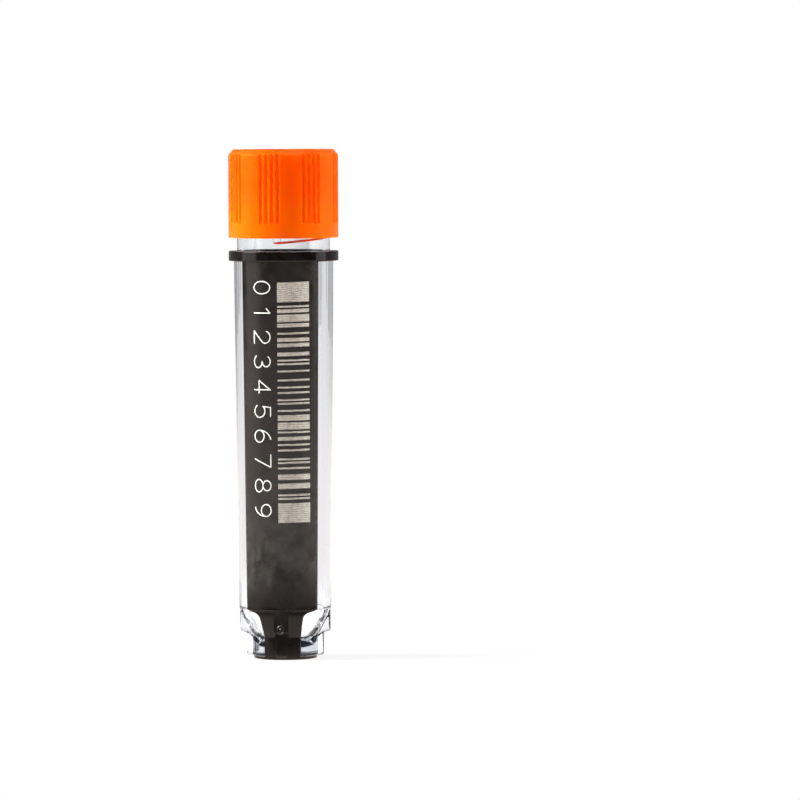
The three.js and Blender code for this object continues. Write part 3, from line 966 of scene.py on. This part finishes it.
def stroke_shell(line, top):
    """
    One stroke of a figure as a thin flat ribbon with round ends, laid on the strip. line holds points
    across and up the cell, in mm. The ribbon keeps its half width along the line, and past each end narrows
    as a half circle. Across the cell runs down the vial, and up the cell runs round it.
    """
    half = STROKE / 2
    length = np.linalg.norm(np.diff(line, axis=0), axis=1).sum()
    line = along(line, max(3, int(length / 0.07)))
    heading = np.gradient(line, axis=0)
    heading /= np.linalg.norm(heading, axis=1)[:, None]
    closed = np.allclose(line[0], line[-1], atol=1e-6)
    if closed:
        both = heading[0] + heading[-1]
        heading[0] = heading[-1] = both / np.linalg.norm(both)
        middle, way, width = line, heading, np.full(len(line), half)
    else:
        past = half * np.sin(np.radians([90, 72, 50, 25]))
        narrow = np.sqrt(half**2 - past**2)
        before = line[0] - past[:, None] * heading[0]
        behind = line[-1] + past[::-1, None] * heading[-1]
        middle = np.concatenate([before, line, behind])
        way = np.concatenate([np.repeat(heading[:1], 4, 0), heading, np.repeat(heading[-1:], 4, 0)])
        width = np.concatenate([narrow, np.full(len(line), half), narrow[::-1]])
    side = np.stack([-way[:, 1], way[:, 0]], axis=1)
    edges = np.stack([middle - side * width[:, None], middle + side * width[:, None]], axis=1)
    z = top - STROKE / 2 - edges[..., 0]
    across = FIGURES_FOOT + STROKE / 2 + edges[..., 1]
    return slab(on_strip(across, z, MARK_PROUD), on_strip(across, z, MARK_DEEP))


def figure_shells():
    """The plain figures 0 to 9, written down the strip with their tops towards the bars."""
    size = np.array([FIGURE_WIDTH - STROKE, FIGURE_HEIGHT - STROKE])
    shells = []
    for place, strokes in enumerate(FIGURES.values()):
        top = PRINT_TOP + 0.15 - FIGURE_PITCH * place
        shells += [stroke_shell(stroke * size, top) for stroke in strokes]
    return shells


BAR_WIDTHS = "211214 123122 123221 113141 312131 113123 141122 212141 112133 2331112"
BAR_MODULE = 0.2035
BAR_LEFT, BAR_RIGHT = -0.15, 3.60  # round the body from the middle of the strip
BAR_SKEW = 0.015  # rise over run of the lowest bar, as the part stood slightly askew under the laser
BAR_FAN = 0.00045  # what the rise over run gains with each mm of height, from the laser's lens
QUIET_ZONE = 2.235


def bar_shells():
    """
    The light fields of a linear code for the figures 0 to 9. Widths alternate between bare and marked
    plastic, in modules, with a marked quiet zone at both ends.
    """
    widths = np.array([int(w) for w in BAR_WIDTHS.replace(" ", "")]) * BAR_MODULE
    edges = PRINT_TOP - QUIET_ZONE - np.concatenate([[0], np.cumsum(widths)])
    fields = [(PRINT_TOP, edges[0])]
    fields += [(edges[i], edges[i + 1]) for i in range(1, len(widths), 2)]
    fields += [(edges[-1], edges[-1] - QUIET_ZONE)]
    across = np.repeat(np.linspace(BAR_LEFT, BAR_RIGHT, 25)[None, :], 2, axis=0)
    from_middle = across - (BAR_LEFT + BAR_RIGHT) / 2
    shells = []
    for high, low in fields:
        z = np.array([[low], [high]])
        z = z + (BAR_SKEW + BAR_FAN * (z - fields[-1][1])) * from_middle
        shells.append(slab(on_strip(across, z, MARK_PROUD), on_strip(across, z, MARK_DEEP)))
    return shells


def matrix_shells():
    """
    The light fields of a square code on the underside: a marked border round 14 by 14 cells, whose left and
    lower sides are bare, whose other sides alternate, and whose other cells are drawn at random. Marked
    cells next to each other in a row make one field.
    """
    cells, size, turn = 14, 3.95, math.radians(-31.0)
    cell = size / (cells + 2)
    light = np.ones((cells + 2, cells + 2), bool)
    light[1:-1, 1:-1] = np.random.default_rng(7).random((cells, cells)) < 0.5
    light[1, 1:-1] = False
    light[1:-1, 1] = False
    light[-2, 1:-1] = np.arange(cells) % 2 == 1
    light[1:-1, -2] = np.arange(cells) % 2 == 1
    shells = []
    for i, row in enumerate(light):
        ends = np.flatnonzero(np.diff(np.concatenate([[0], row.astype(int), [0]])))
        for first, last in zip(ends[::2], ends[1::2]):
            x = np.array([[first, last], [first, last]]) * cell - size / 2
            y = np.array([[i, i], [i + 1, i + 1]]) * cell - size / 2
            turned_x = x * math.cos(turn) - y * math.sin(turn)
            turned_y = x * math.sin(turn) + y * math.cos(turn)
            under = np.stack([turned_x, turned_y, np.full_like(x, -0.006)], axis=-1)
            inside = np.stack([turned_x, turned_y, np.full_like(x, 0.02)], axis=-1)
            shells.append(slab(under, inside))
    return shells


# ---------------------------------------------------------------- the pieces

tube = piece("fine_tube", [tube_shell()], [CLEAR])
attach(tube, "vial")
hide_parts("tube")

jacket = piece("fine_jacket", jacket_shells(), [BLACK, BONDED, SHADED_RING_BLACK])
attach(jacket, "vial")
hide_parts("code_jacket")

gate = piece("gate_mark", [gate_shell()], [GATE])
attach(gate, "vial")

cap = piece("fine_cap", [cap_shell()], [ORANGE])
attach(cap, "cap")
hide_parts("screw_cap")

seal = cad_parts["seal_ring"]
seal.data.materials.clear()
seal.data.materials.append(SOFT)

for name, shells, material in (
    ("printed_figures", figure_shells(), LINE),
    ("printed_bars", bar_shells(), MARK),
    ("printed_matrix", matrix_shells(), MARK),
):
    mark = piece(name, shells, [material])
    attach(mark, "vial")


# ---------------------------------------------------------------- stage and light


def pale_floor():
    """
    A smooth white table. Close to the vial it keeps the vial's shadow, and farther out it glows plain
    white. What reflects it sees a little light round the foot, the vial's own shadow, and then the pool of
    light on it, which fades before the table's edge.
    """
    material, tree, place = begun("white_table")
    far = add(tree, "VectorMath", {"operation": "LENGTH"}, {0: (place, "Object")})
    reach = {**SMOOTH, "From Min": 0.006, "To Max": 1.0}
    length = {"Value": (far, "Value")}
    seen = add(tree, "MapRange", {**reach, "From Max": 0.05, "To Min": 0.78}, length)
    bent = add(tree, "MapRange", {**reach, "From Max": 0.12, "To Min": 0.1}, length)
    pool = add(
        tree,
        "ValToRGB",
        links={"Fac": (far, "Value")},
        stops=[(0.006, 0.55), (0.014, 0.1), (0.05, 0.06), (0.12, 1.0), (0.3, 0.95), (0.6, 0.4), (1.0, 0.1)],
    )
    pool = add(tree, "Math", {"operation": "MULTIPLY", 1: 1.6}, {0: (pool, 0)})
    rays = add(tree, "LightPath")
    mirror = add(
        tree,
        "Math",
        {"operation": "SUBTRACT", "use_clamp": True},
        {0: (rays, "Is Glossy Ray"), 1: (rays, "Is Transmission Ray")},
    )
    level = add(tree, "Mix", {"data_type": "FLOAT", 2: 1.0}, {0: (mirror, 0), 3: (pool, 0)})
    times, larger = {"operation": "MULTIPLY"}, {"operation": "MAXIMUM"}
    bent = add(tree, "Math", times, {0: (rays, "Is Transmission Ray"), 1: (bent, 0)})
    seen = add(tree, "Math", times, {0: (rays, "Is Camera Ray"), 1: (seen, 0)})
    part = add(tree, "Math", larger, {0: (seen, 0), 1: (bent, 0)})
    part = add(tree, "Math", larger, {0: (part, 0), 1: (mirror, 0)})
    table = add(tree, "BsdfDiffuse", {"Color": srgb("#b8b8b8")})
    warm = add(tree, "Mix", {"data_type": "RGBA", 6: srgb("#ffffff"), 7: srgb("#fff4ea")}, {0: (mirror, 0)})
    glow = add(tree, "Emission", {}, {"Color": (warm, 2), "Strength": (level, 0)})
    both = add(tree, "MixShader", {}, {0: (part, 0), 1: (table, 0), 2: (glow, 0)})
    return finished(material, both)


FLOOR_HALF = 1.2
FLOOR_HEIGHT = -0.00003  # just under the vial, in metres

floor_mesh = bpy.data.meshes.new("table_top")
floor_mesh.from_pydata(
    [(x * FLOOR_HALF, y * FLOOR_HALF, FLOOR_HEIGHT) for x, y in ((-1, -1), (1, -1), (1, 1), (-1, 1))],
    [],
    [(0, 1, 2, 3)],
)
floor_mesh.materials.append(pale_floor())
table_top = bpy.data.objects.new("table_top", floor_mesh)
bpy.context.scene.collection.objects.link(table_top)


def white_studio():
    """
    A white room round the table. Seen directly it is full white. Looked at through clear plastic its walls
    are a little uneven from side to side, and slate grey on the side that the coded strip faces. In
    reflections that side is dim, as the open side of a light tent is, and a soft fill lights all the rest.
    """
    world = bpy.data.worlds.new("white_studio")
    bpy.context.scene.world = world
    world.use_nodes = True
    tree = world.node_tree
    tree.nodes.clear()
    place = add(tree, "TexCoord")
    ahead = add(
        tree,
        "VectorMath",
        {"operation": "DOT_PRODUCT", 1: (0.11, -0.994, 0.0)},
        {0: (place, "Generated")},
    )
    opening = add(
        tree,
        "MapRange",
        {**SMOOTH, "From Min": -0.2, "From Max": 0.5, "To Min": 1.0, "To Max": 0.03},
        {"Value": (ahead, "Value")},
    )
    tall = add(tree, "Mapping", {"Scale": (5.0, 5.0, 0.4)}, {"Vector": (place, "Generated")})
    walls = add(tree, "TexNoise", {"Scale": 1.0, "Detail": 2.0}, {"Vector": (tall, 0)})
    uneven = add(
        tree,
        "MapRange",
        {**SMOOTH, "From Min": 0.40, "From Max": 0.52, "To Min": 0.45, "To Max": 1.0},
        {"Value": (walls, "Fac")},
    )
    rays = add(tree, "LightPath")
    softer = add(tree, "Math", {"operation": "MULTIPLY", 1: 0.45}, {0: (opening, 0)})
    fill = add(tree, "Background", {"Color": srgb("#ffffff")}, {"Strength": (softer, 0)})
    dimmer = add(tree, "Math", {"operation": "MULTIPLY", 1: 0.26}, {0: (opening, 0)})
    mirrored = add(tree, "Background", {"Color": srgb("#ffffff")}, {"Strength": (dimmer, 0)})
    ahead_only = add(
        tree,
        "MapRange",
        {**SMOOTH, "From Min": 0.3, "From Max": 0.8, "To Min": 1.0, "To Max": 0.0},
        {"Value": (ahead, "Value")},
    )
    slate = add(
        tree,
        "ValToRGB",
        links={"Fac": (ahead_only, 0)},
        stops=[(0.0, "#6f7988"), (1.0, "#ffffff")],
    )
    through = add(tree, "Background", {}, {"Color": (slate, 0), "Strength": (uneven, 0)})
    white = add(tree, "Background", {"Color": srgb("#ffffff"), "Strength": 1.0})
    mix = fill
    seen_by = {"Is Glossy Ray": mirrored, "Is Transmission Ray": through, "Is Camera Ray": white}
    for ray, seen in seen_by.items():
        mix = add(tree, "MixShader", {}, {0: (rays, ray), 1: (mix, 0), 2: (seen, 0)})
    add(tree, "OutputWorld", {}, {"Surface": (mix, 0)})


white_studio()


def softbox(name, azimuth, elevation, distance, width, height, radiance, mirrored=True):
    """
    A rectangular lamp that faces the vial's middle from an angle from the front and an elevation. A
    radiance of 1 is as bright as white paper in full light. One that is not mirrored stands for light off
    the whole tent: it lights what is matt, and leaves no picture of itself in what is glossy or clear.
    """
    lamp = bpy.data.lights.new(name, "AREA")
    lamp.shape = "RECTANGLE"
    lamp.size, lamp.size_y, lamp.energy = width, height, radiance * math.pi * width * height
    thing = bpy.data.objects.new(name, lamp)
    a, e = math.radians(azimuth), math.radians(elevation)
    back = np.array([math.sin(a) * math.cos(e), -math.cos(a) * math.cos(e), math.sin(e)])
    thing.location = np.array([0, 0, 0.03]) + distance * back
    thing.rotation_euler = (math.pi / 2 - e, 0, a)
    thing.visible_glossy = thing.visible_transmission = mirrored
    bpy.context.scene.collection.objects.link(thing)


softbox("left_panel", -72, 10, 0.6, 0.40, 0.9, 0.95)
softbox("right_panel", 92, 10, 0.7, 0.35, 0.9, 0.9)
softbox("left_of_tent", -82, 22, 0.7, 0.35, 0.5, 38.0, False)
softbox("right_of_tent", 96, 22, 0.7, 0.30, 0.4, 24.0, False)
softbox("high_left_softbox", -80, 36, 0.7, 0.35, 0.4, 9.0)
softbox("high_right_softbox", 88, 36, 0.7, 0.30, 0.3, 4.0)
softbox("top_softbox", 60, 76, 0.8, 0.5, 0.4, 2.0)
softbox("front_softbox", 4, 46, 0.8, 0.7, 0.5, 0.8)


# ---------------------------------------------------------------- camera

CAMERA_AZIMUTH = 6.3
CAMERA_DISTANCE = 0.663
CAMERA_HEIGHT = 0.0623
AIM_HEIGHT = 0.02935
CAMERA_ROLL = math.radians(0.24)
AIM_ASIDE = 0.01319

turn = math.radians(CAMERA_AZIMUTH)
to_camera = np.array([math.sin(turn), -math.cos(turn), 0])
aside = np.array([math.cos(turn), math.sin(turn), 0])
eye = CAMERA_DISTANCE * to_camera + [0, 0, CAMERA_HEIGHT]
aim = AIM_ASIDE * aside + [0, 0, AIM_HEIGHT]
gaze = aim - eye

lens = bpy.data.cameras.new("camera")
lens.sensor_width = 36.0
lens.lens = 261.95
lens.clip_start = 0.05
camera = bpy.data.objects.new("camera", lens)
camera.location = eye
pitch = math.pi / 2 + math.atan2(gaze[2], math.hypot(gaze[0], gaze[1]))
heading = Euler((pitch, 0, math.atan2(-gaze[0], gaze[1]))).to_matrix()
camera.rotation_euler = (heading @ Euler((0, 0, -CAMERA_ROLL)).to_matrix()).to_euler()
bpy.context.scene.collection.objects.link(camera)
bpy.context.scene.camera = camera

scene = bpy.context.scene
scene.view_settings.view_transform = "Standard"
scene.cycles.max_bounces = 40
scene.cycles.transmission_bounces = 24
scene.cycles.glossy_bounces = 24
scene.cycles.transparent_max_bounces = 16
